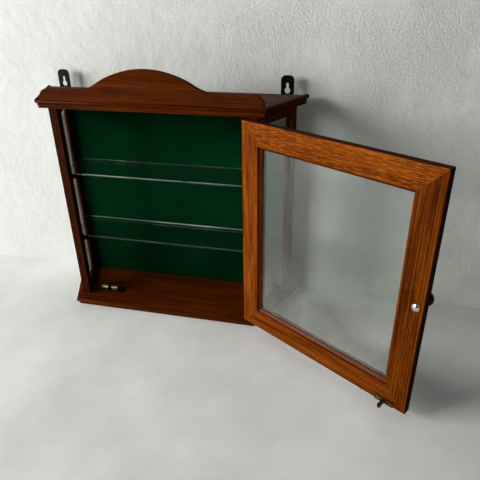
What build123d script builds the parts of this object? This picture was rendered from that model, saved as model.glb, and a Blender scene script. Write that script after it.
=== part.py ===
from build123d import *
from math import atan2, cos, radians, sin, tan
import os

# A small glazed display case. Millimetres. X to the right, Y to the back, Z up.
# The origin is the middle of the base's underside; the case's front faces -Y.

# ---- driving dimensions -------------------------------------------------------------------
front_half = 134.0          # half the case's width across the front posts' faces
back_half = 169.0           # half its width at the back: the sides are canted
front_y = -30.5             # plane of the front posts and of the closed door's outer face
back_y = 50.0               # plane of the back
post_width = 11.3           # front post's width, across X
post_depth = 9.0            # front post's depth, along Y

base_height = 9.0
base_front_y = -50.0        # nose of the base's moulding
base_back_half = 178.0      # nose of the base's side moulding, at the back

top_z = 285.5               # underside of the top board
top_thickness = 10.0
top_side_overhang = 5.8     # top board past the case's side, across X
top_front_y = -30.4         # top board's front, where the cornice is glued on

pediment_front_y = -36.8
pediment_thickness = 7.5
pediment_left = 138.6       # the pediment stops a little shorter on the left
pediment_right = 142.8
pediment_corner = 11.0      # radius of its ends
shoulder_height = 13.8      # pediment's level ends, above the top board
arch_height = 38.5          # crown of the pediment, above the top board
arch_half = 88.0            # where the arch meets the level ends
crown_radius = 118.0

rail_height = 13.0          # top rail of each side
sill_height = 5.0           # bottom rail of each side
sill_groove = 2.0
pane_thickness = 2.0
groove_depth = 3.0
groove_clearance = 0.15
stop_depth = 5.0            # stop that backs each side pane, in front of the rear post
stop_thickness = 3.0
stop_gap = 0.1              # between it and the pane

rear_post_inner = 152.5     # inner face of the rear posts
rear_post_y = 41.0          # their front face
rabbet = 4.0                # back panel's lap over each rear post
panel_thickness = 4.0
felt_thickness = 1.0
panel_gap = 0.3
back_screw_x = 154.2
back_screw_heights = (40.0, 147.0, 255.0)

shelf_thickness = 3.0
shelf_front_y = -18.5
shelf_front_half = 131.8
shelf_corner = 1.0
shelf_tops = {"shelf_upper": 195.2, "shelf_lower": 102.0}
support_height = 5.0
support_depth = 7.0
front_support_x = (118.7, 130.1)
rear_support_x = (147.5, 154.5)
support_chamfer = 0.8
support_clearance = 0.5     # to the closed door

door_gap = 0.9              # between the door and the posts
door_end_gap = 0.75         # between the door and the boards above and below it
door_thickness = 10.2
member_width = 25.5         # stiles and rails, at the inner face
lip_extra = 4.0             # outer lip that the glass rests against
lip_thickness = 3.0
door_pane = 2.0
bead_height = 3.0
bead_step = 1.0
bead_flat = 1.2
door_open_angle = 147.9     # from closed to where the door is drawn
edge_round = 1.2

hinge_length = 32.0
knuckle_radius = 2.4
pin_radius = 1.0
pin_clearance = 0.05
pin_offset = 2.8            # pin's axis in front of the posts' plane
pin_outboard = 1.2          # and outboard of the right post's inner edge
leaf_thickness = 1.0
leaf_depth = 7.6            # how far a leaf reaches along the wood
knuckle_gap = 0.2
hinge_inset = 36.0          # from the door's end to the near end of a hinge
hinge_screw_depth = 5.2     # from the posts' plane back to the leaves' screws
hinge_screw_inset = 7.0     # from a leaf's end to its screw
pin_head_radius = 1.3
pin_head_thickness = 0.6

catch_x = -97.0             # middle of the catch, and of the tongue
catch_y = -14.4             # axis of the balls
catch_z = 13.2
catch_length = 44.0
catch_depth = 8.6
catch_plate = 1.2
ball_radius = 2.0
ball_stand_out = 1.1        # how far a ball stands out of its barrel
ball_clearance = 0.05
barrel_near = 3.0           # barrels run from here to barrel_far, each side of the middle
barrel_far = 12.5
barrel_radius = 3.2
barrel_lip = 0.15            # turned-in mouth that keeps a ball in its barrel
mouth_radius = 1.86
adjuster_length = 3.0
spring_radius = 1.4
spring_wire = 0.2
spring_play = 0.35          # left between a spring's ends and what they press on
spring_turns = 4
catch_screw_inset = 4.6

striker_width = 22.0
striker_height = 6.0
striker_thickness = 1.2
striker_rise = 0.3          # above the door's bottom edge
striker_screw_x = 8.0       # each side of the tongue
tongue_height = 3.0
tongue_neck = 1.6           # half widths of the tongue
tongue_head = 2.0
tongue_nose = 1.2

knob_x = -113.5
knob_z = 144.9
knob_length = 17.0
knob_radius = 7.5

hanger_x = 156.0
hanger_width = 16.5
hanger_thickness = 1.5
hanger_bottom = 272.0
hanger_top = 318.5
keyhole_z = 300.0
keyhole_radius = 3.6
slot_half = 1.75
slot_top = 309.5
hanger_corner = 5.6
hanger_screw_x = 4.5        # each side of the plate's middle

# ---- worked out from them -------------------------------------------------------------------
cant = (back_half - front_half) / (back_y - front_y)
cant_angle = atan2(back_half - front_half, back_y - front_y)
inner_half = front_half - post_width
pane_bottom = base_height + sill_height - sill_groove
door_bottom = base_height + door_end_gap
door_height = top_z - door_end_gap - door_bottom
door_edge = inner_half - door_gap
door_inner_y = front_y + door_thickness
pin_x = inner_half + pin_outboard
pin_y = front_y - pin_offset
hinge_axis = Axis((pin_x, pin_y, 0), (0, 0, 1))
hinge_bottoms = {
    "lower_hinge": door_bottom + hinge_inset,
    "upper_hinge": door_bottom + door_height - hinge_inset - hinge_length,
}
roof_z = top_z + top_thickness
screw_slot = 0.5            # width and depth of the screws' slots
LOW = (Align.CENTER, Align.CENTER, Align.MIN)


# ---- helpers ------------------------------------------------------------------------------
def outer_x(y):
    """Outside of the right side, at depth y."""
    return front_half + (y - front_y) * cant


def inner_x(y):
    """Inside of the right side, at depth y."""
    return outer_x(y) - post_width


def prism(points, low, high):
    """An upright prism over a plan outline."""
    return Pos(0, 0, low) * extrude(Polygon(*points, align=None), high - low, dir=(0, 0, 1))


def slab(points, front, depth):
    """An upright slab over an outline in X and Z, from its front plane backwards."""
    upright = Plane(origin=(0, front, 0), x_dir=(1, 0, 0), z_dir=(0, -1, 0))
    return extrude(upright * Polygon(*points, align=None), depth, dir=(0, 1, 0))


def rod(radius, start, direction, length):
    """A cylinder from a start point along a direction."""
    return Plane(origin=start, z_dir=direction) * Cylinder(radius, length, align=LOW)


def flipped(shape):
    """The same piece on the other side of the case."""
    return mirror(shape, about=Plane.YZ)


def opened(shape):
    """A piece of the closed door, turned to where the door is drawn."""
    return shape.rotate(hinge_axis, door_open_angle)


def countersunk_screw(head, direction, length, shank=1.0, head_radius=2.0):
    """A flat-headed, slotted wood screw; head is the middle of its flat top."""
    cone = Cone(head_radius, shank, head_radius - shank, align=LOW)
    slot = Box(2 * head_radius, screw_slot, screw_slot, align=LOW)
    return Plane(origin=head, z_dir=direction) * (cone + Cylinder(shank, length, align=LOW) - slot)


def save(shape, name):
    """Writes one named piece."""
    shape.label = name
    export_step(shape, f"parts/{name}.step")


# ---- moulded edges --------------------------------------------------------------------------
def cornice_profile(low, high, bead=2.3, rise=0.0):
    """Edge of the top board: fillet, hollow, and a round nose above. X is outward, Y is up."""
    outline = Polygon((0, low), (6.0, low), (6.0, low + 1.2), (5.0, low + 1.2), (5.0, low + 2.7),
                      (6.4, low + 2.7), (6.4, low + 4.1), (5.4, low + 5.2), (5.4, high), (0, high),
                      align=None)
    nose = Pos(5.8, high - bead + rise) * Circle(bead)
    return outline + nose


def side_cornice_profile(low, high):
    """The same, with a larger nose that stands up above the top board."""
    return cornice_profile(low, high, bead=2.8, rise=1.6)


def base_profile(low, high):
    """Edge of the base: a set-back foot, a hollow, and a round nose above."""
    bead = 2.0
    outline = Polygon((0, low), (3.6, low), (3.6, low + 2.2), (4.4, low + 2.2), (5.2, low + 4.6),
                      (5.2, high), (0, high), align=None)
    nose = Pos(5.4, high - bead) * Circle(bead)
    return outline + nose


def strip(profile, through, outward, up, reach=300.0):
    """A long moulding, both ways from a point; its section's X is outward and its Y is up."""
    plane = Plane(origin=through, x_dir=outward, z_dir=Vector(outward).cross(Vector(up)))
    return extrude(plane * profile, reach, both=True)


def moulded_sides(front_profile, side_profile, low, high, core_front, core_half_front, reach=14.0):
    """Front, right and left lengths of a moulding round a canted board, mitred together."""
    mitre = (1 / cos(cant_angle) - tan(cant_angle)) * reach
    corner = (core_half_front, core_front)
    tip = (core_half_front + mitre, core_front - reach)
    back_x = core_half_front + (back_y - core_front) * cant
    far_x = back_x + 3 * reach
    front_plan = [(-corner[0], corner[1]), corner, tip, (-tip[0], tip[1])]
    side_plan = [corner, tip, (far_x, tip[1]), (far_x, back_y), (back_x, back_y)]
    outward = (cos(cant_angle), -sin(cant_angle), 0)
    front = strip(front_profile(low, high), (0, core_front, 0), (0, -1, 0), (0, 0, 1))
    side = strip(side_profile(low, high), (*corner, 0), outward, (0, 0, 1))
    front = front & prism(front_plan, low - reach, high + reach)
    side = side & prism(side_plan, low - reach, high + reach)
    return front, side, flipped(side)


# ---- carcase --------------------------------------------------------------------------------
def make_base_board():
    """Base board, with its moulded front and side edges in one piece."""
    nose = 7.4
    core_front = base_front_y + nose
    core_back_half = base_back_half - nose / cos(cant_angle)
    core_front_half = core_back_half - (back_y - core_front) * cant
    core = prism([(-core_front_half, core_front), (core_front_half, core_front),
                  (core_back_half, back_y), (-core_back_half, back_y)], 0, base_height)
    edges = moulded_sides(base_profile, base_profile, 0, base_height, core_front, core_front_half)
    board = core + edges[0] + edges[1] + edges[2]
    for screw in base_screws():
        board -= screw
    return board


def base_screws():
    """Screws up through the base, one into each post."""
    screw_y = front_y + 3.8
    front_x = (inner_half + outer_x(screw_y)) / 2
    rear_x = (rear_post_inner + rabbet + outer_x(back_y)) / 2
    places = [(front_x, screw_y), (rear_x, back_y - panel_thickness)]
    screws = []
    for x, y in places:
        for side in (-1, 1):
            screws.append(countersunk_screw((side * x, y, 0), (0, 0, 1), 22, shank=1.4, head_radius=3.0))
    return screws


def make_top_board():
    """Plain board between the cornices."""
    front_x = outer_x(top_front_y) + top_side_overhang
    back_x = outer_x(back_y) + top_side_overhang
    board = prism([(-front_x, top_front_y), (front_x, top_front_y), (back_x, back_y), (-back_x, back_y)],
                  top_z, roof_z)
    for screw in hanger_screws():
        board -= screw
    return board


def make_cornices():
    """Moulding round the top board, mitred at the front corners."""
    core_half = outer_x(top_front_y) + top_side_overhang
    return moulded_sides(cornice_profile, side_cornice_profile, top_z, roof_z, top_front_y, core_half)


def make_pediment():
    """Board on the front of the top: level shoulders, an arched crown and round-cornered ends."""
    rise = arch_height - shoulder_height
    turn = 2 * atan2(rise, arch_half)
    bend_x = crown_radius * sin(turn)
    bend_z = arch_height - crown_radius * (1 - cos(turn))
    flare_radius = (arch_half - bend_x) / sin(turn)
    half_turn = turn / 2
    flare_x = arch_half - flare_radius * sin(half_turn)
    flare_z = shoulder_height + flare_radius * (1 - cos(half_turn))
    straight = shoulder_height - pediment_corner
    quarter = pediment_corner * (1 - cos(radians(45)))
    right_x = pediment_right - pediment_corner
    left_x = pediment_left - pediment_corner
    outline = [
        Line((-pediment_left, 0), (pediment_right, 0)),
        Line((pediment_right, 0), (pediment_right, straight)),
        ThreePointArc((pediment_right, straight), (pediment_right - quarter, shoulder_height - quarter),
                      (right_x, shoulder_height)),
        Line((right_x, shoulder_height), (arch_half, shoulder_height)),
        ThreePointArc((arch_half, shoulder_height), (flare_x, flare_z), (bend_x, bend_z)),
        ThreePointArc((bend_x, bend_z), (0, arch_height), (-bend_x, bend_z)),
        ThreePointArc((-bend_x, bend_z), (-flare_x, flare_z), (-arch_half, shoulder_height)),
        Line((-arch_half, shoulder_height), (-left_x, shoulder_height)),
        ThreePointArc((-left_x, shoulder_height), (-pediment_left + quarter, shoulder_height - quarter),
                      (-pediment_left, straight)),
        Line((-pediment_left, straight), (-pediment_left, 0)),
    ]
    upright = Plane(origin=(0, pediment_front_y, roof_z), x_dir=(1, 0, 0), z_dir=(0, -1, 0))
    return extrude(upright * make_face(Wire(outline)), -pediment_thickness)


def make_front_post():
    """Right front post: its outer face follows the cant, its inner face is square to the front."""
    y = front_y + post_depth
    plan = [(outer_x(front_y), front_y), (inner_half, front_y), (inner_half, y), (outer_x(y), y)]
    return prism(plan, base_height, top_z) - side_groove()


def make_rear_post():
    """Right rear post, rabbeted for the back panel."""
    panel_y = back_y - panel_thickness
    plan = [(outer_x(rear_post_y), rear_post_y), (rear_post_inner, rear_post_y),
            (rear_post_inner, panel_y), (rear_post_inner + rabbet, panel_y),
            (rear_post_inner + rabbet, back_y), (outer_x(back_y), back_y)]
    return prism(plan, base_height, top_z) - side_groove()


def make_side_rail(low, high):
    """One right side rail, between the front and rear posts."""
    y0 = front_y + post_depth
    y1 = rear_post_y
    plan = [(outer_x(y0), y0), (inner_x(y0), y0), (inner_x(y1), y1), (outer_x(y1), y1)]
    return prism(plan, low, high) - side_groove()


def pane_plan(extra):
    """Plan of the right side pane; extra widens it each way, for its groove."""
    half = (pane_thickness / 2 + extra) / cos(cant_angle)
    y0 = front_y + post_depth - groove_depth - extra
    y1 = rear_post_y + groove_depth + extra
    x0 = outer_x(y0) - post_width / 2
    x1 = outer_x(y1) - post_width / 2
    return [(x0 + half, y0), (x0 - half, y0), (x1 - half, y1), (x1 + half, y1)]


def side_groove():
    """Groove in the posts and rails of the right side; the pane stands on its floor."""
    return prism(pane_plan(groove_clearance), pane_bottom, top_z - rail_height + groove_depth)


def make_side_pane():
    """Right side pane."""
    return prism(pane_plan(0), pane_bottom, top_z - rail_height + groove_depth - groove_clearance)


def make_side_stop():
    """Right stop: a strip behind the pane's inner face, glued to the rear post."""
    y0 = rear_post_y - stop_depth
    y1 = rear_post_y
    inset = (post_width + pane_thickness / cos(cant_angle)) / 2 + stop_gap
    width = stop_thickness / cos(cant_angle)
    plan = [(outer_x(y) - inset - back, y) for y, back in ((y0, 0), (y0, width), (y1, width), (y1, 0))]
    return prism(plan, base_height + sill_height, top_z - rail_height)


def make_back_panel():
    """Plywood back, in the rear posts' rabbets."""
    half = rear_post_inner + rabbet - panel_gap
    panel = Pos(0, back_y - panel_thickness / 2, base_height) * Box(
        2 * half, panel_thickness, top_z - base_height, align=LOW)
    for screw in back_screws():
        panel -= screw
    return panel


def back_screws():
    """Small screws through the back panel into the rear posts."""
    screws = []
    for z in back_screw_heights:
        for x in (-back_screw_x, back_screw_x):
            screws.append(countersunk_screw((x, back_y, z), (0, -1, 0), 7.2, shank=0.8, head_radius=1.6))
    return screws


def make_felt():
    """Baize glued to the back panel's front."""
    half = rear_post_inner - panel_gap
    y = back_y - panel_thickness - felt_thickness / 2
    return Pos(0, y, base_height) * Box(2 * half, felt_thickness, top_z - base_height, align=LOW)


# ---- shelves ----------------------------------------------------------------------------------
def make_shelf(top):
    """A glass shelf, nearly from pane to pane, its back corners between the rear posts."""
    back_half = rear_post_inner - panel_gap
    back = back_y - panel_thickness - felt_thickness - panel_gap
    right = [(shelf_front_half, shelf_front_y), (back_half, rear_post_y - panel_gap), (back_half, back)]
    left = [(-x, y) for x, y in reversed(right)]
    glass = prism(right + left, top - shelf_thickness, top)
    return fillet(glass.edges().filter_by(Axis.Z).group_by(Axis.Y)[0], shelf_corner)


def support_block(across, y, low):
    """A block between two places across the case, from y backwards."""
    width = across[1] - across[0]
    return Pos(across[0] + width / 2, y + support_depth / 2, low) * Box(
        width, support_depth, support_height, align=LOW)


def make_supports(top):
    """Four blocks under one shelf, glued to the posts; the front two clear the closed door."""
    stop = make_side_stop()
    low = top - shelf_thickness - support_height
    clear_x = door_edge + support_clearance
    clear_y = door_inner_y + support_clearance
    front_post_back = front_y + post_depth
    front = support_block(front_support_x, front_post_back, low)
    front -= prism([(0, front_y), (clear_x, front_y), (clear_x, clear_y), (0, clear_y)],
                   low, low + support_height)
    rear = support_block(rear_support_x, rear_post_y - support_depth, low)
    blocks = []
    for block in (front, rear):
        soft = chamfer(block.edges().group_by(Axis.Z)[0], support_chamfer) - stop
        blocks += [soft, flipped(soft)]
    return Compound(children=blocks)


# ---- hangers ----------------------------------------------------------------------------------
def make_hanger():
    """Right keyhole plate, round-cornered above."""
    middle = (hanger_bottom + hanger_top) / 2
    outline = Pos(hanger_x, middle) * Rectangle(hanger_width, hanger_top - hanger_bottom)
    outline = fillet(outline.vertices(), hanger_corner)
    outline -= Pos(hanger_x, keyhole_z) * Circle(keyhole_radius)
    slot_middle = (keyhole_z + slot_top - slot_half) / 2
    outline -= Pos(hanger_x, slot_middle) * Rectangle(2 * slot_half, slot_top - slot_half - keyhole_z)
    outline -= Pos(hanger_x, slot_top - slot_half) * Circle(slot_half)
    back_plane = Plane(origin=(0, back_y, 0), x_dir=(1, 0, 0), z_dir=(0, -1, 0))
    plate = extrude(back_plane * outline, -hanger_thickness)
    for screw in hanger_screws():
        plate -= screw
    return plate


def hanger_screws():
    """Two screws through each plate, side by side into the top board's back edge."""
    z = top_z + top_thickness / 2
    screws = []
    for plate_x in (-hanger_x, hanger_x):
        for x in (plate_x - hanger_screw_x, plate_x + hanger_screw_x):
            head = (x, back_y + hanger_thickness, z)
            screws.append(countersunk_screw(head, (0, -1, 0), 8.8, shank=1.2, head_radius=2.6))
    return screws


# ---- door, drawn closed -------------------------------------------------------------------------
def door_outline(inset):
    """Corners of a rectangle inset from the door's edges, in X and Z."""
    return (-door_edge + inset, door_edge - inset, door_bottom + inset, door_bottom + door_height - inset)


def door_ring_opening():
    """What is cut through the door's frame: sight opening and the glass's rabbet."""
    x0, x1, z0, z1 = door_outline(member_width + lip_extra)
    sight = Pos(0, front_y, z0) * Box(x1 - x0, 2 * door_thickness, z1 - z0, align=LOW)
    x0, x1, z0, z1 = door_outline(member_width)
    y = front_y + lip_thickness
    rebate = Pos(0, (y + door_inner_y + 1) / 2, z0) * Box(
        x1 - x0, door_inner_y + 1 - y, z1 - z0, align=LOW)
    return sight + rebate


def door_member(side):
    """One mitred member of the door: left, right, top or bottom."""
    x0, x1, z0, z1 = door_outline(0)
    d = member_width + lip_extra
    plans = {
        "right": [(x1, z0), (x1, z1), (x1 - d, z1 - d), (x1 - d, z0 + d)],
        "left": [(x0, z0), (x0, z1), (x0 + d, z1 - d), (x0 + d, z0 + d)],
        "top": [(x0, z1), (x1, z1), (x1 - d, z1 - d), (x0 + d, z1 - d)],
        "bottom": [(x0, z0), (x1, z0), (x1 - d, z0 + d), (x0 + d, z0 + d)],
    }
    return slab(plans[side], front_y, door_thickness)


def rounded_door_block():
    """The door's outside shape, its long edges a little rounded."""
    x0, x1, z0, z1 = door_outline(0)
    block = Pos(0, front_y + door_thickness / 2, z0) * Box(x1 - x0, door_thickness, z1 - z0, align=LOW)
    return fillet(block.edges().filter_by(Axis.Y, reverse=True), edge_round)


def make_door_members():
    """Two stiles and two rails."""
    shape = rounded_door_block() - door_ring_opening()
    names = {"door_hinge_stile": "right", "door_free_stile": "left",
             "door_top_rail": "top", "door_bottom_rail": "bottom"}
    members = {name: door_member(side) & shape for name, side in names.items()}
    for hinge in hinge_bottoms:
        members["door_hinge_stile"] -= door_leaf(hinge)
    for screw in hinge_door_screws():
        members["door_hinge_stile"] -= screw
    members["door_free_stile"] -= make_knob_screw()
    for screw in striker_screws():
        members["door_bottom_rail"] -= screw
    return members


def make_door_glass():
    """The door's pane, against the outer lip."""
    x0, x1, z0, z1 = door_outline(member_width + groove_clearance)
    y = front_y + lip_thickness + door_pane / 2
    return Pos(0, y, z0) * Box(x1 - x0, door_pane, z1 - z0, align=LOW)


def make_glazing_beads():
    """Four mitred beads that hold the glass: a small step and a sloped face."""
    x0, x1, z0, z1 = door_outline(member_width)
    y = front_y + lip_thickness + door_pane
    section = Polygon((0, 0), (lip_extra, 0), (lip_extra, bead_step), (bead_flat, bead_height),
                      (0, bead_height), align=None)
    half_width = (x1 - x0) / 2
    sides = {
        "left": ((x0, y, 0), (1, 0, 0), (x0, z0), (x0, z1)),
        "right": ((x1, y, 0), (-1, 0, 0), (x1, z0), (x1, z1)),
        "bottom": ((0, y, z0), (0, 0, 1), (x0, z0), (x1, z0)),
        "top": ((0, y, z1), (0, 0, -1), (x0, z1), (x1, z1)),
    }
    beads = {}
    for side, (through, inward, start, end) in sides.items():
        wedge = [start, end]
        for x, z in (end, start):
            wedge.append((0, z + half_width * (1 if z == z0 else -1)))
        length = strip(section, through, inward, (0, 1, 0))
        beads[f"glazing_bead_{side}"] = length & slab(wedge, y, bead_height)
    return beads


def make_knob():
    """Turned knob on the door's outer face: foot, neck and a rounded head."""
    outline = [
        Line((0, 0), (5.2, 0)),
        Line((5.2, 0), (5.2, 1.4)),
        ThreePointArc((5.2, 1.4), (3.6, 3.6), (3.9, 6.2)),
        Spline((3.9, 6.2), (knob_radius, 11.0), (5.4, 15.6), (0, knob_length),
               tangents=((1, 0.4), (-1, 0))),
        Line((0, knob_length), (0, 0)),
    ]
    place = Plane(origin=(knob_x, front_y, knob_z), x_dir=(1, 0, 0), z_dir=(0, 0, -1))
    knob = revolve(place * make_face(Wire(outline)), Axis(place.origin, (0, -1, 0)), 360)
    return knob - make_knob_screw()


def make_knob_screw():
    """Domed machine screw through the free stile into the knob."""
    head_radius = 4.0
    rim = Cylinder(head_radius, 0.9, align=LOW)
    dome_radius = 4.6
    dome = Pos(0, 0, 2.6 - dome_radius) * Sphere(dome_radius)
    dome = dome & (Pos(0, 0, 0.9) * Cylinder(3.3, 4, align=LOW))
    slot = Pos(0, 0, 2.0) * Box(10, 0.9, 2, align=LOW)
    shank = Pos(0, 0, -door_thickness - 9) * Cylinder(1.9, door_thickness + 9, align=LOW)
    return Plane(origin=(knob_x, door_inner_y, knob_z), z_dir=(0, 1, 0)) * (rim + dome - slot + shank)


def make_striker():
    """Plate on the door's inner face, with the tongue that the balls grip by its neck."""
    plate = Pos(catch_x, door_inner_y + striker_thickness / 2, door_bottom + striker_rise) * Box(
        striker_width, striker_thickness, striker_height, align=LOW)
    y0 = door_inner_y + striker_thickness / 2
    neck, head, nose = tongue_neck, tongue_head, tongue_nose
    plan = [(-head, y0), (head, y0), (head, y0 + 1.2), (neck, catch_y - 1.6), (neck, catch_y + 1.6),
            (head, catch_y + 2.6), (head, catch_y + 5.0), (nose, catch_y + 6.4),
            (-nose, catch_y + 6.4), (-head, catch_y + 5.0), (-head, catch_y + 2.6),
            (-neck, catch_y + 1.6), (-neck, catch_y - 1.6), (-head, y0 + 1.2)]
    low = catch_z - tongue_height / 2
    tongue = prism([(catch_x + x, y) for x, y in plan], low, low + tongue_height)
    striker = plate + tongue
    for screw in striker_screws():
        striker -= screw
    return striker


def striker_screws():
    """Two small screws, one at each end of the striker plate."""
    screws = []
    for x in (catch_x - striker_screw_x, catch_x + striker_screw_x):
        head = (x, door_inner_y + striker_thickness, door_bottom + striker_rise + striker_height / 2)
        screws.append(countersunk_screw(head, (0, -1, 0), 7, shank=0.9, head_radius=1.9))
    return screws


# ---- hinges -------------------------------------------------------------------------------------
def leaf(low, side, face_x, knuckle_spans, neck):
    """A leaf let into the wood behind face_x, on one side of it, and the knuckles that it carries."""
    y0 = front_y + knuckle_gap
    back_x = face_x + side * leaf_thickness
    plan = [(face_x, y0), (face_x, y0 + leaf_depth), (back_x, y0 + leaf_depth), (back_x, y0)]
    body = prism(plan, low, low + hinge_length)
    bore = Pos(pin_x, pin_y, low - 1) * Cylinder(pin_radius + pin_clearance, hinge_length + 2, align=LOW)
    for start, end in knuckle_spans:
        web = prism([(face_x, y0), (back_x, y0), (pin_x + neck[0], pin_y), (pin_x + neck[1], pin_y)],
                    low + start, low + end)
        body += web + Pos(pin_x, pin_y, low + start) * Cylinder(knuckle_radius, end - start, align=LOW)
    return body - bore


def case_leaf(name):
    """Leaf on the right front post; it carries the outer knuckles."""
    third = hinge_length / 3
    spans = [(0, third - knuckle_gap), (2 * third + knuckle_gap, hinge_length)]
    piece = leaf(hinge_bottoms[name], 1, inner_half, spans, (0.8, -1.4))
    for screw in hinge_case_screws():
        piece -= screw
    return piece


def door_leaf(name):
    """Leaf on the hinge stile; it carries the middle knuckle."""
    third = hinge_length / 3
    piece = leaf(hinge_bottoms[name], -1, door_edge, [(third, 2 * third)], (-2.2, -0.6))
    for screw in hinge_door_screws():
        piece -= screw
    return piece


def hinge_pin(name):
    """Pin through the three knuckles, with a small head at each end."""
    low = hinge_bottoms[name]
    pin = Pos(pin_x, pin_y, low) * Cylinder(pin_radius, hinge_length, align=LOW)
    for z in (low - pin_head_thickness, low + hinge_length):
        pin += Pos(pin_x, pin_y, z) * Cylinder(pin_head_radius, pin_head_thickness, align=LOW)
    return pin


def hinge_screw_heights():
    """Heights of the two screws of each leaf."""
    heights = []
    for low in hinge_bottoms.values():
        heights += [low + hinge_screw_inset, low + hinge_length - hinge_screw_inset]
    return heights


def hinge_screws(face_x, direction, length):
    """Screws square through one side's leaves."""
    screws = []
    for z in hinge_screw_heights():
        head = (face_x, front_y + hinge_screw_depth, z)
        screws.append(countersunk_screw(head, direction, length, shank=0.9, head_radius=1.8))
    return screws


def hinge_case_screws():
    """Screws through the case leaves into the right front post."""
    return hinge_screws(inner_half, (1, 0, 0), 6.5)


def hinge_door_screws():
    """Screws through the door leaves into the hinge stile."""
    return hinge_screws(door_edge, (-1, 0, 0), 10)


# ---- catch --------------------------------------------------------------------------------------
def make_catch_body():
    """Brass plate with two barrels that face each other across the tongue's way."""
    body = Pos(catch_x, catch_y, base_height) * Box(catch_length, catch_depth, catch_plate, align=LOW)
    body = fillet(body.edges().filter_by(Axis.Z), 2.0)
    for side in (-1, 1):
        length = barrel_far - barrel_near
        middle = catch_x + side * (barrel_near + barrel_far) / 2
        foot = catch_z - base_height
        body += Pos(middle, catch_y, base_height) * Box(length, 2 * barrel_radius, foot, align=LOW)
        start = (catch_x + side * barrel_near, catch_y, catch_z)
        body += rod(barrel_radius, start, (side, 0, 0), length)
    for side in (-1, 1):
        start = (catch_x + side * (barrel_near - 1), catch_y, catch_z)
        body -= rod(mouth_radius, start, (side, 0, 0), 2)
        start = (catch_x + side * (barrel_near + barrel_lip), catch_y, catch_z)
        body -= rod(ball_radius + ball_clearance, start, (side, 0, 0), barrel_far - barrel_near)
    for screw in catch_screws():
        body -= screw
    return body


def make_ball(side):
    """One ball, standing out of its barrel into the tongue's way."""
    x = catch_x + side * (barrel_near - ball_stand_out + ball_radius)
    return Pos(x, catch_y, catch_z) * Sphere(ball_radius)


def make_spring(side):
    """Coil spring between a ball and its adjuster."""
    start = barrel_near - ball_stand_out + 2 * ball_radius + spring_play
    end = barrel_far - adjuster_length - spring_play
    coil = Helix(pitch=(end - start) / spring_turns, height=end - start, radius=spring_radius)
    wire = sweep(Plane(origin=coil @ 0, z_dir=coil % 0) * Circle(spring_wire), path=coil)
    return Plane(origin=(catch_x + side * start, catch_y, catch_z), z_dir=(side, 0, 0)) * wire


def make_adjuster(side):
    """Slotted plug behind a spring."""
    x = catch_x + side * (barrel_far - adjuster_length)
    plug = Cylinder(ball_radius + ball_clearance, adjuster_length, align=LOW)
    plug -= Pos(0, 0, adjuster_length - 0.8) * Box(5, 0.7, 1, align=LOW)
    return Plane(origin=(x, catch_y, catch_z), z_dir=(side, 0, 0)) * plug


def catch_screws():
    """One screw down through each end of the catch's plate."""
    screws = []
    for side in (-1, 1):
        x = catch_x + side * (catch_length / 2 - catch_screw_inset)
        screws.append(countersunk_screw((x, catch_y, base_height + catch_plate), (0, 0, -1), 7, shank=1.0))
    return screws


# ---- the whole case -----------------------------------------------------------------------------
def make_posts():
    """The four posts, cut for what is let into them and screwed to them."""
    right_front = make_front_post()
    for hinge in hinge_bottoms:
        right_front -= case_leaf(hinge)
    for screw in hinge_case_screws():
        right_front -= screw
    posts = {
        "front_post_right": right_front,
        "front_post_left": flipped(make_front_post()),
        "rear_post_right": make_rear_post(),
        "rear_post_left": flipped(make_rear_post()),
    }
    for name in posts:
        for screw in base_screws() + back_screws():
            posts[name] -= screw
    return posts


def make_case():
    """Every piece that stays with the case."""
    pieces = {"base_board": make_base_board(), "top_board": make_top_board(), "pediment": make_pediment()}
    for screw in catch_screws():
        pieces["base_board"] -= screw
    front, right, left = make_cornices()
    pieces.update({"cornice_front": front, "cornice_right": right, "cornice_left": left})
    pieces.update(make_posts())
    lower_rail = make_side_rail(base_height, base_height + sill_height)
    upper_rail = make_side_rail(top_z - rail_height, top_z)
    pane = make_side_pane()
    stop = make_side_stop()
    for side, turn in (("right", lambda shape: shape), ("left", flipped)):
        pieces[f"side_bottom_rail_{side}"] = turn(lower_rail)
        pieces[f"side_top_rail_{side}"] = turn(upper_rail)
        pieces[f"side_glass_{side}"] = turn(pane)
        pieces[f"side_stop_{side}"] = turn(stop)
    pieces["back_panel"] = make_back_panel()
    pieces["felt_lining"] = make_felt()
    pieces["back_panel_screws"] = Compound(children=back_screws())
    pieces["base_screws"] = Compound(children=base_screws())
    for name, top in shelf_tops.items():
        pieces[name] = make_shelf(top)
        pieces[f"{name}_supports"] = make_supports(top)
    hanger = make_hanger()
    pieces["hanger_plate_right"] = hanger
    pieces["hanger_plate_left"] = flipped(hanger)
    pieces["hanger_screws"] = Compound(children=hanger_screws())
    for hinge in hinge_bottoms:
        pieces[f"{hinge}_case_leaf"] = case_leaf(hinge)
        pieces[f"{hinge}_pin"] = hinge_pin(hinge)
    pieces["hinge_case_screws"] = Compound(children=hinge_case_screws())
    pieces["catch_body"] = make_catch_body()
    pieces["catch_screws"] = Compound(children=catch_screws())
    for side, word in ((-1, "left"), (1, "right")):
        pieces[f"catch_ball_{word}"] = make_ball(side)
        pieces[f"catch_spring_{word}"] = make_spring(side)
        pieces[f"catch_adjuster_{word}"] = make_adjuster(side)
    return pieces


def make_door():
    """Every piece that turns with the door, drawn closed."""
    pieces = dict(make_door_members())
    pieces["door_glass"] = make_door_glass()
    pieces.update(make_glazing_beads())
    pieces["door_knob"] = make_knob()
    pieces["knob_screw"] = make_knob_screw()
    pieces["striker_plate"] = make_striker()
    pieces["striker_screws"] = Compound(children=striker_screws())
    for hinge in hinge_bottoms:
        pieces[f"{hinge}_door_leaf"] = door_leaf(hinge)
    pieces["hinge_door_screws"] = Compound(children=hinge_door_screws())
    return pieces


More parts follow.
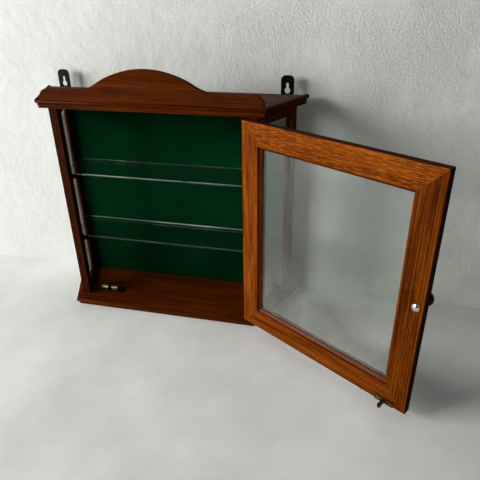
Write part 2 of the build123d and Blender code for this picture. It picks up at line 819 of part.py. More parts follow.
os.makedirs("parts", exist_ok=True)
for name, shape in make_case().items():
    save(shape, name)
for name, shape in make_door().items():
    save(opened(shape), name)
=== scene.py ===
import math

import bpy
from mathutils import Matrix, Vector


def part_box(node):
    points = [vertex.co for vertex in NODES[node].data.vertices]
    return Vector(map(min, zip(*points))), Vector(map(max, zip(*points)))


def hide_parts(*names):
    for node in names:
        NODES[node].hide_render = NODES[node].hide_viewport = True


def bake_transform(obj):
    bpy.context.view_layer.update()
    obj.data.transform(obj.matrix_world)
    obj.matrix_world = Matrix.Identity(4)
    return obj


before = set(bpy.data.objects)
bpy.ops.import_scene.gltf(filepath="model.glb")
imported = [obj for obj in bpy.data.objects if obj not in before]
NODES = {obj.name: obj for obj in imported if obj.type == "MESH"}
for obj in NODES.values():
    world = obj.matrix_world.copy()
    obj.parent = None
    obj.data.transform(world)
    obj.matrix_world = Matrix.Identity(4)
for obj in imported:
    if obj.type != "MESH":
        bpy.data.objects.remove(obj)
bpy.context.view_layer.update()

# ---- facts of the model, lengths in metres ---------------------------------------------------
X, Y, Z = Vector((1, 0, 0)), Vector((0, 1, 0)), Vector((0, 0, 1))
OPEN_ANGLE = math.radians(147.9)        # the door stands this far open
DOOR_RUN = Vector((-math.cos(OPEN_ANGLE), -math.sin(OPEN_ANGLE), 0))   # hinge edge to free edge
DOOR_FACE = Vector((-math.sin(OPEN_ANGLE), math.cos(OPEN_ANGLE), 0))   # towards its inner face
SIDE_WIDENING, SIDE_DEPTH = 0.0350, 0.0805      # how far a side runs outwards over its depth
CANT = math.atan2(SIDE_WIDENING, SIDE_DEPTH)
SIDE_RUN = {"right": Vector((math.sin(CANT), math.cos(CANT), 0)),
            "left": Vector((-math.sin(CANT), math.cos(CANT), 0))}
CATCH_PLATE_TOP = 0.0104
EDGE_TOLERANCE = 0.0003                 # a point this near a piece's far side is on its edge
MM = 1000.0                             # millimetres in a metre


def linear(red, green, blue):
    """An sRGB colour of 0 to 255, as the linear values that shaders take."""
    out = []
    for value in (red, green, blue):
        v = value / 255
        out.append(v / 12.92 if v <= 0.04045 else ((v + 0.055) / 1.055) ** 2.4)
    return (*out, 1.0)


# ---- node graphs -----------------------------------------------------------------------------
class Graph:
    """A short way to write a material's nodes."""

    def __init__(self, name):
        self.material = bpy.data.materials.new(name)
        self.material.use_nodes = True
        self.tree = self.material.node_tree
        self.tree.nodes.clear()
        self.output = self.tree.nodes.new("ShaderNodeOutputMaterial")

    def give(self, socket, value):
        """Sets a socket to a value, or links another socket to it."""
        if isinstance(value, bpy.types.NodeSocket):
            self.tree.links.new(value, socket)
        else:
            socket.default_value = value

    def add(self, kind, inputs=None, out=0, **settings):
        """Adds one node and returns its output socket. An input is a value or another socket."""
        node = self.tree.nodes.new("ShaderNode" + kind)
        for key, value in settings.items():
            setattr(node, key, value)
        for key, value in (inputs or {}).items():
            self.give(node.inputs[key], value)
        return node.outputs[out]

    def place(self):
        """The rest position of a point, in metres."""
        return self.add("TexCoord", out="Object")

    def part(self, vector, index):
        """One component of a vector: 0, 1 or 2."""
        return self.add("SeparateXYZ", {0: vector}, out=index)

    def upright(self):
        """How far a face looks up: 1 for a top, 0 for a side, -1 for an underside."""
        return self.part(self.add("NewGeometry", out="True Normal"), 2)

    def axis(self, direction, scale):
        """How far a point is along a direction, times a scale."""
        dot = self.add("VectorMath", {0: self.place(), 1: direction}, out="Value",
                       operation="DOT_PRODUCT")
        return self.times(dot, scale)

    def math(self, operation, a, b):
        return self.add("Math", {0: a, 1: b}, operation=operation)

    def times(self, a, b):
        return self.math("MULTIPLY", a, b)

    def plus(self, a, b):
        return self.math("ADD", a, b)

    def noise(self, vector, scale=1.0, detail=3.0, rough=0.5, distortion=0.0):
        return self.add("TexNoise", {"Vector": vector, "Scale": scale, "Detail": detail,
                                     "Roughness": rough, "Distortion": distortion}, out="Fac")

    def ramp(self, value, stops):
        """A colour ramp. Stops are (position, colour)."""
        node = self.tree.nodes.new("ShaderNodeValToRGB")
        elements = node.color_ramp.elements
        while len(elements) < len(stops):
            elements.new(0.5)
        for element, (position, colour) in zip(elements, stops):
            element.position = position
            element.color = colour
        self.tree.links.new(value, node.inputs[0])
        return node.outputs[0]

    def range(self, value, low, high, to_low, to_high):
        """Maps low to high onto to_low to to_high, and holds the ends."""
        return self.add("MapRange", {"Value": value, "From Min": low, "From Max": high,
                                     "To Min": to_low, "To Max": to_high})

    def mix(self, factor, a, b):
        """Colour a where the factor is 0, and colour b where it is 1."""
        node = self.tree.nodes.new("ShaderNodeMix")
        node.data_type = "RGBA"
        factor_socket, a_socket, b_socket, result_socket = 0, 6, 7, 2   # the colours' sockets
        for index, value in ((factor_socket, factor), (a_socket, a), (b_socket, b)):
            self.give(node.inputs[index], value)
        return node.outputs[result_socket]

    def blend(self, factor, a, b):
        """Shader a where the factor is 0, and shader b where it is 1."""
        return self.add("MixShader", {0: factor, 1: a, 2: b})

    def bump(self, height, distance, strength):
        return self.add("Bump", {"Height": height, "Distance": distance, "Strength": strength})

    def finish(self, shader):
        self.tree.links.new(shader, self.output.inputs["Surface"])
        return self.material

    def principled(self, inputs):
        return self.finish(self.add("BsdfPrincipled", inputs))


# In the sections below, four numbers together are what Graph.range takes: low, high, to low,
# to high.

# ---- wood ------------------------------------------------------------------------------------
SEED_SKEW = 1.7                         # moves a seed across the grain as well as along it
STREAK_SEED, WANDER_SEED, BREAK_SEED, RAY_SEED, PORE_SEED, WEAR_SEED = 31, 7, 3, 47, 11, 19
DRIFT_SHARE, STREAK_SHARE = 0.4, 0.6    # of the broad and the fine streaks, in the tone
RING_SLOPE = 0.7                        # growth lines lean this much through the board
RING_WIDTH = (0.45, 0.98, 0.0, 1.0)
RING_BREAKS = (0.35, 0.6, 0.25, 1.0)    # growth lines fade in and out along the grain
RAY_EDGE = (0.53, 0.66, 0.0, 1.0)
PORE_EDGE = (0.52, 0.66, 0.0, 1.0)
PORE_KEEPS_DARK = (0.62, 0.38, 0.25, 1.0)       # fewer pores in the light streaks
PORE_SIZE = (8.0, 0.55)                 # along and across the grain, in millimetres
DUST_AND_SHEEN_FACES = (0.3, 0.95, 0.0, 1.0)      # dust and a painted sheen lie on faces that look up
DUST_AND_SHEEN_ON_WOOD = linear(176, 170, 160)
EDGE_SHADE = 0.85                       # how far an edge with painted shade goes to the pores' colour
HANDLED = (0.3, 0.75)
HANDLING_DULLS = 0.2                    # roughness that handling adds
STREAK_RELIEF = 0.35                    # height of a streak, beside a pore's depth of 1
WOOD_RELIEF = 0.00012
VARNISH_ROUGHNESS = 0.12


def grain_space(g, along, across, seed, stretch, width):
    """Coordinates that run slowly along the grain and quickly across it. The stretch and the
    width of one unit are in millimetres."""
    through = along.cross(across)
    u = g.axis(along, MM / stretch)
    v = g.axis(across, MM / width)
    w = g.axis(through, MM / width)
    return g.add("CombineXYZ", {0: g.plus(u, seed), 1: g.plus(v, seed * SEED_SKEW), 2: w})


def wood(name, along, across, seed, look):
    """Stained and varnished timber: long streaks, growth lines, golden rays and dark pores."""
    g = Graph(name)

    def grain(offset, stretch, width, detail, rough=0.5):
        space = grain_space(g, along, across, seed + offset, stretch, width)
        return g.noise(space, detail=detail, rough=rough)

    dark, middle, light = look["tones"]
    drift = grain(0, 110, 12, 4, 0.55)
    streak = grain(STREAK_SEED, *look["streak"], 4, 0.62)
    tone = g.plus(g.times(drift, DRIFT_SHARE), g.times(streak, STREAK_SHARE))
    spread = look["spread"]
    colour = g.ramp(tone, [(0.5 - spread, dark), (0.5, middle), (0.5 + spread, light)])

    wander = grain(WANDER_SEED, 150, 22, 3, 0.45)
    phase = g.plus(g.axis(across, MM), g.axis(along.cross(across), RING_SLOPE * MM))
    phase = g.plus(phase, g.times(wander, look["wander"]))
    wave = g.math("SINE", g.times(phase, 2 * math.pi / look["rings"]), 0.0)
    broken = g.range(grain(BREAK_SEED, 60, 4, 2), *RING_BREAKS)
    line = g.times(g.range(wave, *RING_WIDTH), broken)
    colour = g.mix(g.times(line, look["ring_depth"]), colour, dark)

    rays = g.range(grain(RAY_SEED, *look["ray"], 3, 0.6), *RAY_EDGE)
    colour = g.mix(g.times(rays, look["ray_depth"]), colour, look["gold"])

    pores = g.range(grain(PORE_SEED, *PORE_SIZE, 2, 0.6), *PORE_EDGE)
    pores = g.times(pores, g.range(streak, *PORE_KEEPS_DARK))
    colour = g.mix(g.times(pores, look["pore_depth"]), colour, look["pore"])

    # a pale film on upward faces: partly dust, partly a painted sheen for the light they reflect
    dust = look["dust"]
    if dust:
        cloud = g.noise(g.place(), scale=30.0, detail=4, rough=0.6)
        film = g.range(cloud, 0.3, 0.7, 0.5 * dust, dust)
        colour = g.mix(g.times(g.range(g.upright(), *DUST_AND_SHEEN_FACES), film), colour, DUST_AND_SHEEN_ON_WOOD)
    # painted shade on edges that face away from the light
    for direction, limit in look["dark_edges"]:
        past = g.math("GREATER_THAN", g.axis(direction, 1.0), limit)
        colour = g.mix(g.times(past, EDGE_SHADE), colour, look["pore"])

    gloss = look["gloss"]
    relief = g.math("SUBTRACT", g.times(streak, STREAK_RELIEF), pores)
    return g.principled({
        "Base Color": colour,
        "Roughness": g.range(grain(WEAR_SEED, 30, 24, 4, 0.6), *HANDLED,
                             gloss, gloss + HANDLING_DULLS),
        "Normal": g.bump(relief, WOOD_RELIEF, look["bump"]),
        "Specular IOR Level": 0.0, "Coat Weight": look["coat"],
        "Coat Roughness": VARNISH_ROUGHNESS})


# Streak and ray are (length, width), and rings is the spacing of growth lines, in millimetres.
OAK = {
    "tones": (linear(74, 27, 2), linear(116, 52, 7), linear(146, 74, 14)), "spread": 0.15,
    "pore": linear(44, 14, 2), "pore_depth": 0.5, "gold": linear(178, 104, 34),
    "streak": (60.0, 1.1), "wander": 7.0, "rings": 5.0, "ring_depth": 0.5,
    "ray": (7.0, 1.2), "ray_depth": 0.2, "gloss": 0.4, "coat": 0.05, "bump": 0.5,
    "dust": 0.0, "dark_edges": ()}
MAHOGANY = {
    "tones": (linear(44, 14, 2), linear(74, 28, 3), linear(101, 46, 7)), "spread": 0.15,
    "pore": linear(24, 7, 1), "pore_depth": 0.45, "gold": linear(116, 54, 12),
    "streak": (75.0, 0.9), "wander": 10.0, "rings": 14.0, "ring_depth": 0.3,
    "ray": (14.0, 0.9), "ray_depth": 0.2, "gloss": 0.34, "coat": 0.06, "bump": 0.2,
    "dust": 0.0, "dark_edges": ()}


def variant(look, tone=1.0, **changes):
    """A look with its tones made darker or lighter, and other settings changed."""
    made = {**look, **changes}
    made["tones"] = tuple((*(channel * tone for channel in colour[:3]), 1.0)
                          for colour in made["tones"])
    return made


# ---- glass -----------------------------------------------------------------------------------
GLASS_IOR = 1.5
GLASS_ROUGHNESS = 0.02
GLASS_DUST = linear(214, 214, 208)
SMEAR = (0.35, 0.75, 0.35, 1.0)
SPECKS = (0.4, 0.62, 0.2, 1.7)
LOW_CLOUD_HEIGHT = (0.16, 0.05, 0.03, 1.0)      # a door's glass is cloudier towards its foot
WIPE_MARKS = (0.38, 0.62, 0.1, 1.0)
LEAST_FACING = 0.06                     # dust looks no thicker on glass seen more edge on
MOST_DUST = 0.7
EDGE_DEEP, EDGE_HIGHLIGHT = linear(10, 26, 18), linear(214, 232, 220)
EDGE_GROUND, GROUND_SHARE = linear(60, 84, 70), 0.2
EDGE_GLOSS = (0.3, 0.7, 0.2, 0.45)
BACK_EDGE_STARTS = (0.03, 0.04)         # y, between a shelf's front edge and its back edge
HIGHLIGHT_LINE_ENDS, HIGHLIGHT_LINE_FULL = 0.0018, 0.0012     # depths under a shelf's top
BELOW_HIGHLIGHT_LINE = 0.12
EDGE_STRETCHES = (0.42, 0.58, 0.3, 1.0)
EDGE_CLEARNESS = (0.0, 1.0, 0.6, 0.05)  # an edge with more painted highlight is less clear


def dusty_sheet(g, tint, dust_amount, low_dust):
    """Clear glass under a film of dust that shows most edge on. Returns the clear shader and
    the whole sheet's."""
    smear = g.noise(g.place(), scale=26.0, detail=5, rough=0.62, distortion=0.7)
    speck = g.noise(g.place(), scale=420.0, detail=3, rough=0.6)
    film = g.times(g.range(smear, *SMEAR), g.range(speck, *SPECKS))
    if low_dust:
        wiped = g.noise(g.place(), scale=11.0, detail=5, rough=0.6, distortion=1.5)
        cloud = g.times(g.range(g.part(g.place(), 2), *LOW_CLOUD_HEIGHT),
                        g.range(wiped, *WIPE_MARKS))
        film = g.plus(film, g.times(cloud, low_dust / dust_amount))
    slant = g.add("LayerWeight", {"Blend": 0.5}, out="Facing")
    facing = g.math("MAXIMUM", g.math("SUBTRACT", 1.0, slant), LEAST_FACING)
    cover = g.math("MINIMUM", g.math("DIVIDE", g.times(film, dust_amount), facing), MOST_DUST)
    dust = g.blend(0.5, g.add("BsdfTranslucent", {"Color": GLASS_DUST}),
                   g.add("BsdfDiffuse", {"Color": GLASS_DUST}))
    clear = g.add("BsdfTransparent", {"Color": tint})
    gloss = g.add("BsdfGlossy", {"Color": (1, 1, 1, 1), "Roughness": GLASS_ROUGHNESS})
    leaving = g.add("NewGeometry", out="Backfacing")
    fresnel = g.add("Fresnel", {"IOR": g.range(leaving, 0, 1, GLASS_IOR, 1 / GLASS_IOR)})
    return clear, g.blend(fresnel, g.blend(cover, clear, dust), gloss)


def pane(name, tint, dust_amount, low_dust=0.0):
    """A framed pane. Its edges are in their grooves."""
    g = Graph(name)
    return g.finish(dusty_sheet(g, tint, dust_amount, low_dust)[1])


def shelf_glass(name, tint, dust_amount, front_highlight, back_highlight, top):
    """A shelf's glass, with ground front and back edges and a painted highlight along their top.
    """
    g = Graph(name)
    clear, sheet = dusty_sheet(g, tint, dust_amount, 0.0)
    # painted highlight: a pale line at the top of the edges stands in for reflected light
    painted_highlight = g.range(g.part(g.place(), 1), *BACK_EDGE_STARTS, front_highlight, back_highlight)
    line = g.range(g.part(g.place(), 2), top - HIGHLIGHT_LINE_ENDS, top - HIGHLIGHT_LINE_FULL,
                   BELOW_HIGHLIGHT_LINE, 1.0)
    painted_highlight = g.times(painted_highlight, line)
    stretch = g.range(g.noise(g.place(), scale=9.0, detail=3), *EDGE_STRETCHES)
    grind = g.noise(g.place(), scale=900.0, detail=2)
    colour = g.mix(g.times(painted_highlight, stretch), EDGE_DEEP, EDGE_HIGHLIGHT)
    edge = g.add("BsdfPrincipled", {
        "Base Color": g.mix(g.times(grind, GROUND_SHARE), colour, EDGE_GROUND),
        "Roughness": g.range(grind, *EDGE_GLOSS), "Specular IOR Level": 0.2,
        "Normal": g.bump(grind, 0.00005, 0.3)})
    edge = g.blend(g.range(painted_highlight, *EDGE_CLEARNESS), edge, clear)
    on_face = g.math("GREATER_THAN", g.math("ABSOLUTE", g.upright(), 0.0), 0.5)
    return g.finish(g.blend(on_face, edge, sheet))


# ---- cloth, plywood and metal ----------------------------------------------------------------
BAIZE_TONES = [(0.3, linear(1, 30, 14)), (0.5, linear(1, 43, 20)), (0.7, linear(2, 55, 28))]
BAIZE_PAINTED_SHADE = linear(0, 8, 3)
BAIZE_HEAD = (0.28, 0.2, 0.4, 1.0)      # heights between which painted shade darkens the baize at its head
BAIZE_FOOT = (0.02, 0.12, 0.5, 1.0)     # and at its foot
PLY_TONES = [(0.35, linear(104, 70, 44)), (0.5, linear(146, 106, 70)),
             (0.68, linear(176, 138, 98))]
FIGURE_SHARE, FIBRE_SHARE = 0.65, 0.35
METAL_PATCHES = (0.35, 0.7, 0.0, 1.0)
STAIN_SPOTS = (0.5, 0.68, 0.0, 0.85)
LOW_DARKENING_RISE = 0.0008                     # the darkening below a height, partly tarnish and partly painted shade, fades out over this height
LOW_TARNISH_AND_SHADE = 0.9
PAINT_CHIPS = (0.66, 0.74, 0.0, 1.0)
PAINT_GLOSS = (0.3, 0.7, 0.4, 0.6)


def baize():
    """Green cloth, with painted shade at its head and foot."""
    g = Graph("green_baize")
    nap = g.noise(g.place(), scale=1400.0, detail=3, rough=0.7)
    cloud = g.noise(g.place(), scale=14.0, detail=4, rough=0.6)
    colour = g.ramp(g.plus(g.times(nap, 0.5), g.times(cloud, 0.5)), BAIZE_TONES)
    height = g.part(g.place(), 2)
    unshaded_share = g.times(g.range(height, *BAIZE_HEAD), g.range(height, *BAIZE_FOOT))
    return g.principled({
        "Base Color": g.mix(unshaded_share, BAIZE_PAINTED_SHADE, colour), "Roughness": 0.95,
        "Specular IOR Level": 0.0, "Sheen Weight": 0.03, "Sheen Roughness": 0.4,
        "Normal": g.bump(nap, 0.0004, 0.6)})


def plywood():
    """Bare plywood with upright grain."""
    g = Graph("back_plywood")
    figure = g.noise(grain_space(g, Z, X, 5, 120, 14), detail=5, rough=0.6, distortion=0.5)
    fibre = g.noise(grain_space(g, Z, X, 9, 14, 0.7), detail=3)
    both = g.plus(g.times(figure, FIGURE_SHARE), g.times(fibre, FIBRE_SHARE))
    return g.principled({"Base Color": g.ramp(both, PLY_TONES), "Roughness": 0.72,
                         "Normal": g.bump(fibre, 0.0001, 0.5)})


def metal(name, tones, rough, scratch=0.4, stain=None, tarnished_and_shaded_below=None):
    """Metal with fine scratches and, where given, a stain in patches and a darkening below a
    height that is partly stain and partly painted shade.
    """
    g = Graph(name)
    fine = g.noise(g.place(), scale=2600.0, detail=3, rough=0.7)
    patch = g.noise(g.place(), scale=330.0, detail=4, rough=0.6, distortion=0.4)
    colour = g.mix(g.range(patch, *METAL_PATCHES), *tones)
    if stain:
        spots = g.range(g.noise(g.place(), scale=620.0, detail=4), *STAIN_SPOTS)
        # below the height: partly tarnish, partly painted shade
        if tarnished_and_shaded_below:
            low = g.range(g.part(g.place(), 2), tarnished_and_shaded_below, tarnished_and_shaded_below + LOW_DARKENING_RISE,
                          LOW_TARNISH_AND_SHADE, 0.0)
            spots = g.math("MAXIMUM", spots, low)
        colour = g.mix(spots, colour, stain)
    return g.principled({"Base Color": colour, "Metallic": 1.0,
                         "Roughness": g.range(patch, *HANDLED, rough, rough + HANDLING_DULLS),
                         "Normal": g.bump(fine, 0.00003, scratch)})


def painted_steel():
    """Black paint, chipped in places to bare metal."""
    g = Graph("black_japanned_steel")
    peel = g.noise(g.place(), scale=700.0, detail=3)
    worn = g.noise(g.place(), scale=240.0, detail=5, rough=0.7)
    bare = g.range(worn, *PAINT_CHIPS)
    return g.principled({
        "Base Color": g.mix(bare, linear(8, 8, 9), linear(60, 54, 48)),
        "Metallic": g.times(bare, 0.8), "Specular IOR Level": 0.08,
        "Roughness": g.range(peel, *PAINT_GLOSS), "Normal": g.bump(peel, 0.00006, 0.4)})


# ---- which material each node gets -----------------------------------------------------------
def dress(material, *nodes):
    """Gives CAD nodes a material."""
    for node in nodes:
        slots = NODES[node].material_slots
        if not slots:
            NODES[node].data.materials.append(material)
        for slot in slots:
            slot.material = material


def far_side(node, direction):
    """The direction, and how far a node reaches along it, less the edge's tolerance."""
    reach = max(vertex.co.dot(direction) for vertex in NODES[node].data.vertices)
    return direction, reach - EDGE_TOLERANCE


CASE_WOOD = {
    "base_board": (X, Y), "top_board": (X, Y), "pediment": (X, Z), "cornice_front": (X, Z),
    "cornice_right": (SIDE_RUN["right"], Z), "cornice_left": (SIDE_RUN["left"], Z),
    "front_post_right": (Z, X), "front_post_left": (Z, X),
    "rear_post_right": (Z, X), "rear_post_left": (Z, X),
    "side_top_rail_right": (SIDE_RUN["right"], Z), "side_top_rail_left": (SIDE_RUN["left"], Z),
    "side_bottom_rail_right": (SIDE_RUN["right"], Z),
    "side_bottom_rail_left": (SIDE_RUN["left"], Z),
    "side_stop_right": (Z, X), "side_stop_left": (Z, X),
}
LEFT_SIDE_SHADE = 0.38                   # the left side's wood is darkened in its colour as painted shade
# the tops get a pale film that is partly dust and partly painted sheen
DUST_AND_SHEEN_TOPS, TOP_DUST_AND_SHEEN = ("top_board", "cornice_left", "cornice_right"), 0.16
CASE_SEED_STEP = 13.0
for index, (node, (along, across)) in enumerate(CASE_WOOD.items()):
    look = variant(MAHOGANY, LEFT_SIDE_SHADE) if node.endswith("_left") else MAHOGANY
    if node in DUST_AND_SHEEN_TOPS:
        look = variant(MAHOGANY, dust=TOP_DUST_AND_SHEEN)
    dress(wood("mahogany_" + node, along, across, CASE_SEED_STEP * index, look), node)

# painted shade on the door's top and free edges, which the light barely reaches
TOP_EDGE = far_side("door_top_rail", Z)
FREE_EDGE = far_side("door_free_stile", DOOR_RUN)
HINGE_STILE = variant(OAK, 0.84, streak=(40.0, 0.9), spread=0.1, rings=3.6, ring_depth=0.5,
                      dark_edges=(TOP_EDGE,))
# the free stile's low tone is painted shade, for the light falling off across the door
FREE_STILE = variant(OAK, 0.52, streak=(90.0, 0.9), spread=0.07, rings=3.4, wander=6.0,
                     ring_depth=1.0, ray_depth=0.1, dark_edges=(TOP_EDGE, FREE_EDGE))
TOP_RAIL = variant(OAK, 0.8, streak=(40.0, 0.8), spread=0.11, rings=4.2, ring_depth=0.5,
                   ray=(12.0, 0.6), ray_depth=0.8, dark_edges=(TOP_EDGE,))
BOTTOM_RAIL = variant(OAK, 0.72, streak=(90.0, 0.9), spread=0.08, rings=3.4, wander=5.0,
                      ring_depth=0.85, ray_depth=0.15)
# the beads' low tone is painted shade, for the shadow in the rebate
BEAD = variant(OAK, 0.5, ray_depth=0.1)
DOOR_WOOD = {
    "door_hinge_stile": (Z, DOOR_RUN, HINGE_STILE), "door_free_stile": (Z, DOOR_RUN, FREE_STILE),
    "door_top_rail": (DOOR_RUN, Z, TOP_RAIL), "door_bottom_rail": (DOOR_RUN, Z, BOTTOM_RAIL),
    "glazing_bead_left": (Z, DOOR_RUN, BEAD), "glazing_bead_right": (Z, DOOR_RUN, BEAD),
    "glazing_bead_bottom": (DOOR_RUN, Z, BEAD), "glazing_bead_top": (DOOR_RUN, Z, BEAD),
}
DOOR_SEED, DOOR_SEED_STEP = 101.0, 17.0
for index, (node, (along, across, look)) in enumerate(DOOR_WOOD.items()):
    seed = DOOR_SEED + DOOR_SEED_STEP * index
    dress(wood("oak_" + node, along, across, seed, look), node)
dress(wood("knob_turned_wood", DOOR_FACE, Z, 77.0,
           variant(MAHOGANY, 0.16, rings=3.0, gloss=0.2, coat=0.3)), "door_knob")
dress(wood("support_dark_wood", X, Z, 55.0, variant(MAHOGANY, 0.15, rings=3.0, gloss=0.45)),
      "shelf_upper_supports", "shelf_lower_supports")

SIDE_TINT = (0.84, 0.88, 0.85, 1)
DOOR_TINT = (0.97, 0.98, 0.97, 1)
SHELF_TINT = (0.95, 0.98, 0.96, 1)
SHELF_DUST = 0.002
dress(pane("right_pane", SIDE_TINT, 0.014), "side_glass_right")
dress(pane("left_pane", SIDE_TINT, 0.05), "side_glass_left")
dress(pane("door_pane", DOOR_TINT, 0.01, low_dust=0.1), "door_glass")
for shelf, front_highlight, back_highlight in (("shelf_upper", 0.5, 0.35), ("shelf_lower", 0.16, 1.0)):
    shelf_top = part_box(shelf)[1].z
    dress(shelf_glass(shelf + "_glass", SHELF_TINT, SHELF_DUST, front_highlight, back_highlight,
                      shelf_top), shelf)

STEEL = metal("dull_steel", (linear(120, 118, 114), linear(176, 174, 170)), 0.28,
              stain=linear(70, 62, 54))
dress(metal("aged_brass", (linear(120, 92, 44), linear(176, 146, 84)), 0.24,
            stain=linear(56, 40, 20)),
      "upper_hinge_case_leaf", "upper_hinge_door_leaf", "lower_hinge_case_leaf",
      "lower_hinge_door_leaf", "hinge_case_screws", "hinge_door_screws", "catch_screws",
      "striker_screws")
dress(STEEL, "hanger_screws", "back_panel_screws", "base_screws", "catch_ball_left",
      "catch_ball_right", "catch_adjuster_left", "catch_adjuster_right", "upper_hinge_pin",
      "lower_hinge_pin")
# the catch's plate is darkened below its top: partly tarnish, partly painted shade
dress(metal("catch_brass", (linear(206, 184, 124), linear(236, 220, 168)), 0.14,
            stain=linear(40, 29, 15), tarnished_and_shaded_below=CATCH_PLATE_TOP), "catch_body")
dress(metal("striker_brass", (linear(74, 54, 28), linear(112, 84, 46)), 0.3,
            stain=linear(34, 24, 13)), "striker_plate")
dress(metal("bright_nickel", (linear(214, 212, 206), linear(240, 238, 232)), 0.10,
            scratch=0.2), "knob_screw")
dress(painted_steel(), "hanger_plate_left", "hanger_plate_right")
dress(baize(), "felt_lining")
dress(plywood(), "back_panel")


# ---- catch springs, each copied in steel in place of its node --------------------------------
def coil_spring(side):
    """Copies a catch spring's node in steel and hides the node."""
    node = "catch_spring_" + side
    spring = bpy.data.objects.new("coil_spring_" + side, NODES[node].data.copy())
    bpy.context.scene.collection.objects.link(spring)
    spring.data.materials.clear()
    spring.data.materials.append(STEEL)
    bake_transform(spring)
    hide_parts(node)


coil_spring("left")
coil_spring("right")

# ---- eased edges -----------------------------------------------------------------------------
WELD_GAP = 0.00001
EASED_WIDTH = 0.0005
SHARP_ANGLE = math.radians(40)


def ease(node):
    """Rounds a CAD node's sharp edges a little, as sanding and varnish do."""
    thing = NODES[node]
    weld = thing.modifiers.new("weld", "WELD")
    weld.merge_threshold = WELD_GAP
    bevel = thing.modifiers.new("eased", "BEVEL")
    bevel.width = EASED_WIDTH
    bevel.segments = 2
    bevel.limit_method = "ANGLE"
    bevel.angle_limit = SHARP_ANGLE
    bevel.harden_normals = False


for node in ("base_board", "top_board", "pediment", "cornice_front", "cornice_left",
             "cornice_right", "front_post_left", "front_post_right"):
    ease(node)

# ---- floor and wall --------------------------------------------------------------------------
WALL_Y = 0.0625
STAGE_REACH = 4.0
WALL_HEIGHT = 3.0
HOLE_HALF = 0.145       # the back panel hides this hole, which lets light reach the case's back
HOLE_LOW, HOLE_HIGH = 0.02, 0.27
TONE_CLOUD = (0.3, 0.7, 0.0, 1.0)
CRACKLE_PATCHES = (0.42, 0.6, 0.1, 1.0)
CRACKLE_BY_X = (-0.2, 0.4, 0.7, 2.0)    # the crackle is deeper towards the right
SHADE_AT_LEFT = (-0.4, 0.0, 0.14, 0.0)   # painted shade darkens the plaster towards both ends
SHADE_AT_RIGHT = (0.25, 0.7, 0.0, 0.32)
STAGE_SHADE = linear(120, 121, 118)


def panel(name, corners, faces, material):
    """A flat piece of the stage."""
    mesh = bpy.data.meshes.new(name)
    mesh.from_pydata(corners, [], faces)
    thing = bpy.data.objects.new(name, mesh)
    bpy.context.scene.collection.objects.link(thing)
    thing.data.materials.append(material)


def plaster(name, low, high, lumps, crackle, one_way=False):
    """Painted plaster: a soft cloud of tone, lumps, patches of fine crackle, and painted shade
    towards both ends. Lumps and crackle are (scale, height). A one way wall isn't there when it
    is seen from behind."""
    g = Graph(name)
    lump_scale, lump_height = lumps
    fine_scale, fine_height = crackle
    cloud = g.noise(g.place(), scale=5.0, detail=5, rough=0.6)
    lump = g.noise(g.place(), scale=lump_scale, detail=4, rough=0.55)
    fine = g.noise(g.place(), scale=fine_scale, detail=5, rough=0.68, distortion=0.6)
    patch = g.range(g.noise(g.place(), scale=7.0, detail=3), *CRACKLE_PATCHES)
    right = g.axis(X, 1.0)
    relief = g.times(g.times(fine, patch), fine_height / lump_height)
    relief = g.times(relief, g.range(right, *CRACKLE_BY_X))
    # painted shade towards both ends of the stage, for the light's fall-off
    painted_shade = g.plus(g.range(right, *SHADE_AT_LEFT), g.range(right, *SHADE_AT_RIGHT))
    colour = g.mix(g.range(cloud, *TONE_CLOUD), low, high)
    paint = g.add("BsdfPrincipled", {
        "Base Color": g.mix(painted_shade, colour, STAGE_SHADE), "Roughness": 0.8,
        "Specular IOR Level": 0.1, "Normal": g.bump(g.plus(lump, relief), lump_height, 0.6)})
    if not one_way:
        return g.finish(paint)
    behind = g.add("NewGeometry", out="Backfacing")
    return g.finish(g.blend(behind, paint, g.add("BsdfTransparent")))


panel("floor", [(-STAGE_REACH, -STAGE_REACH, 0), (STAGE_REACH, -STAGE_REACH, 0),
                (STAGE_REACH, STAGE_REACH, 0), (-STAGE_REACH, STAGE_REACH, 0)],
      [(0, 1, 2, 3)],
      plaster("pale_floor", linear(212, 214, 213), linear(244, 246, 244), (30.0, 0.0008),
              (300.0, 0.0001)))
panel("wall", [(-STAGE_REACH, WALL_Y, 0), (STAGE_REACH, WALL_Y, 0),
               (STAGE_REACH, WALL_Y, WALL_HEIGHT), (-STAGE_REACH, WALL_Y, WALL_HEIGHT),
               (-HOLE_HALF, WALL_Y, HOLE_LOW), (HOLE_HALF, WALL_Y, HOLE_LOW),
               (HOLE_HALF, WALL_Y, HOLE_HIGH), (-HOLE_HALF, WALL_Y, HOLE_HIGH)],
      [(0, 1, 5, 4), (1, 2, 6, 5), (2, 3, 7, 6), (3, 0, 4, 7)],
      plaster("pale_wall", linear(206, 207, 204), linear(222, 223, 220), (60.0, 0.002),
              (420.0, 0.0024), one_way=True))

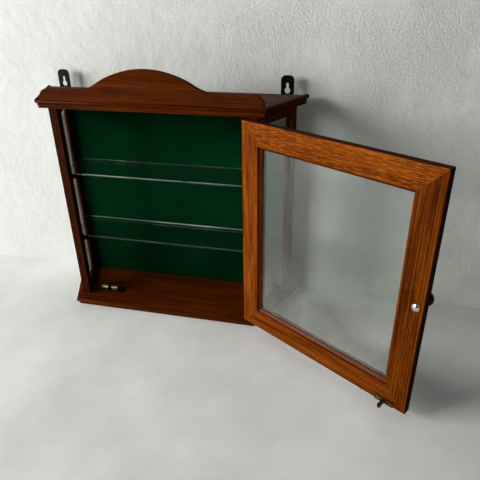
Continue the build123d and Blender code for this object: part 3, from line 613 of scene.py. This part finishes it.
# ---- lights: name, place, what it faces, size, watts, colour ---------------------------------
LIGHTS = (
    ("window", (-1.95, -1.05, 0.74), (0, 0, 0.15), (1.3, 0.95), 90, (1.0, 1.0, 0.98)),
    ("room", (-1.9, -1.9, 1.3), (0.1, 0, 0.1), (1.4, 1.4), 1.2, (1, 1, 1)),
    ("back_room", (-0.5, 2.0, 1.3), (0, 0, 0.15), (1.4, 1.4), 30, (1, 1, 1)),
)
WORLD_COLOUR, WORLD_STRENGTH = (0.86, 0.9, 0.95, 1), 0.025

for name, place, target, size, watts, colour in LIGHTS:
    data = bpy.data.lights.new(name, "AREA")
    data.shape = "RECTANGLE"
    data.size, data.size_y = size
    data.energy = watts
    data.color = colour
    lamp = bpy.data.objects.new(name, data)
    bpy.context.scene.collection.objects.link(lamp)
    lamp.location = place
    lamp.rotation_mode = "QUATERNION"
    lamp.rotation_quaternion = (Vector(target) - Vector(place)).to_track_quat("-Z", "Y")
world = bpy.data.worlds.new("soft_room")
world.use_nodes = True
background = world.node_tree.nodes["Background"].inputs
background["Color"].default_value = WORLD_COLOUR
background["Strength"].default_value = WORLD_STRENGTH
bpy.context.scene.world = world
bpy.context.scene.view_settings.view_transform = "Standard"

# ---- camera ----------------------------------------------------------------------------------
CAMERA_PLACE = (0.2501, -0.5837, 0.4193)
CAMERA_TURN, CAMERA_DIP, CAMERA_ROLL = 13.439, 27.681, -0.673   # degrees
LENS, SENSOR_WIDTH = 36.95, 36.0        # millimetres
SHIFT_X, SHIFT_Y = -0.0101, 0.0056

camera_data = bpy.data.cameras.new("camera")
camera_data.sensor_width = SENSOR_WIDTH
camera_data.lens = LENS
camera_data.shift_x = SHIFT_X
camera_data.shift_y = SHIFT_Y
camera_data.clip_start = 0.01
camera_data.clip_end = 20
camera = bpy.data.objects.new("camera", camera_data)
bpy.context.scene.collection.objects.link(camera)
camera.matrix_world = (Matrix.Translation(CAMERA_PLACE)
                       @ Matrix.Rotation(math.radians(CAMERA_TURN), 4, "Z")
                       @ Matrix.Rotation(math.radians(90 - CAMERA_DIP), 4, "X")
                       @ Matrix.Rotation(math.radians(CAMERA_ROLL), 4, "Z"))
bpy.context.scene.camera = camera
